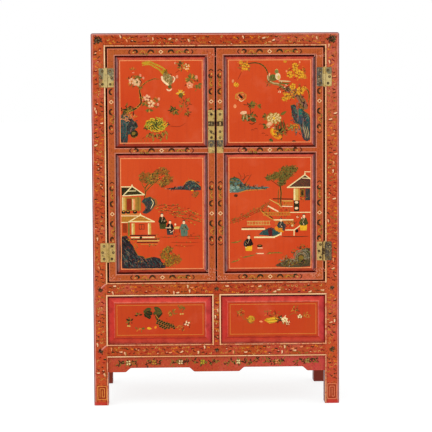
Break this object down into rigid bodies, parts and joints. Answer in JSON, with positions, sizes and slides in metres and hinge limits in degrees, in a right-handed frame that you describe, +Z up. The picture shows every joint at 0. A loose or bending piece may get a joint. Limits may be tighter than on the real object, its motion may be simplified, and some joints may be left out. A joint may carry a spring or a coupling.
{
  "type": "cabinet",
  "caption": "Tall red-lacquered frame-and-panel wedding cabinet with paired painted doors, brass hinges, lock plates and pull rings, a shelf, and a hidden store under lift-out floor boards.",
  "frame": {"origin": "on the floor, at the middle of the overall box", "axes": "+X to the cabinet's right seen from the front, +Y to its back, +Z up; the doors face -Y"},
  "size_m": [0.994, 0.5106, 1.5],
  "materials": {
    "red_lacquer": "worn red lacquer",
    "plain_wood": "bare wood, waxed",
    "brass": "tarnished",
    "nail_brass": "dark tarnish"
  },
  "bodies": {
    "cabinet": {"post_front_left": "red_lacquer", "post_front_right": "red_lacquer", "post_back_left": "red_lacquer", "post_back_right": "red_lacquer", "top_rail_front": "red_lacquer", "top_rail_back": "red_lacquer", "top_rails_side": "red_lacquer", "middle_rail_front": "red_lacquer", "middle_rail_back": "red_lacquer", "middle_rails_side": "red_lacquer", "bottom_rail_front": "red_lacquer", "bottom_rail_back": "red_lacquer", "bottom_rails_side": "red_lacquer", "muntin_front": "red_lacquer", "stile_back": "plain_wood", "lower_panel_left": "red_lacquer", "lower_panel_right": "red_lacquer", "side_panel_upper_left": "red_lacquer", "side_panel_upper_right": "red_lacquer", "side_panel_lower_left": "red_lacquer", "side_panel_lower_right": "red_lacquer", "back_boards_upper": "plain_wood", "back_board_lower": "plain_wood", "top_board": "red_lacquer", "top_batten": "plain_wood", "bottom_board": "plain_wood", "floor_bearer": "plain_wood", "shelf": "plain_wood", "shelf_battens": "plain_wood", "apron_front": "red_lacquer", "aprons_side": "red_lacquer", "hinge_leaves_post": "brass", "hinge_pins": "brass", "nails_post": "nail_brass"},
    "left_door": {"door_left_stile_hinge": "red_lacquer", "door_left_stile_meeting": "red_lacquer", "door_left_rail_top": "red_lacquer", "door_left_rail_middle": "red_lacquer", "door_left_rail_bottom": "red_lacquer", "door_left_panel_upper": "red_lacquer", "door_left_panel_lower": "red_lacquer", "hinge_leaves_left_door": "brass", "nails_left_door": "nail_brass", "lock_plate_left": "brass", "staples_left": "brass"},
    "right_door": {"door_right_stile_hinge": "red_lacquer", "door_right_stile_meeting": "red_lacquer", "door_right_rail_top": "red_lacquer", "door_right_rail_middle": "red_lacquer", "door_right_rail_bottom": "red_lacquer", "door_right_panel_upper": "red_lacquer", "door_right_panel_lower": "red_lacquer", "hinge_leaves_right_door": "brass", "nails_right_door": "nail_brass", "lock_plate_right": "brass", "staples_right": "brass"},
    "left_floor_board": {"floor_board_left": "plain_wood"},
    "right_floor_board": {"floor_board_right": "plain_wood"},
    "left_pull_ring": {"pull_ring_left": "brass"},
    "right_pull_ring": {"pull_ring_right": "brass"}
  },
  "joints": [
    {"name": "left_door_hinge", "type": "hinge", "parent": "cabinet", "child": "left_door", "pos_m": [-0.43575, -0.23925, 0.972], "axis": [0, 0, -1], "range_deg": [0, 175]},
    {"name": "right_door_hinge", "type": "hinge", "parent": "cabinet", "child": "right_door", "pos_m": [0.43575, -0.23925, 0.972], "axis": [0, 0, 1], "range_deg": [0, 175]},
    {"name": "left_floor_board_lift", "type": "slide", "parent": "cabinet", "child": "left_floor_board", "axis": [0, 0, 1], "range_m": [0, 0.15]},
    {"name": "right_floor_board_lift", "type": "slide", "parent": "cabinet", "child": "right_floor_board", "axis": [0, 0, 1], "range_m": [0, 0.15]},
    {"name": "left_pull_ring_swing", "type": "hinge", "parent": "left_door", "child": "left_pull_ring", "pos_m": [-0.0175, -0.24185, 1.062], "axis": [-1, 0, 0], "range_deg": [-12, 180]},
    {"name": "right_pull_ring_swing", "type": "hinge", "parent": "right_door", "child": "right_pull_ring", "pos_m": [0.0175, -0.24185, 1.062], "axis": [-1, 0, 0], "range_deg": [-12, 180]}
  ]
}
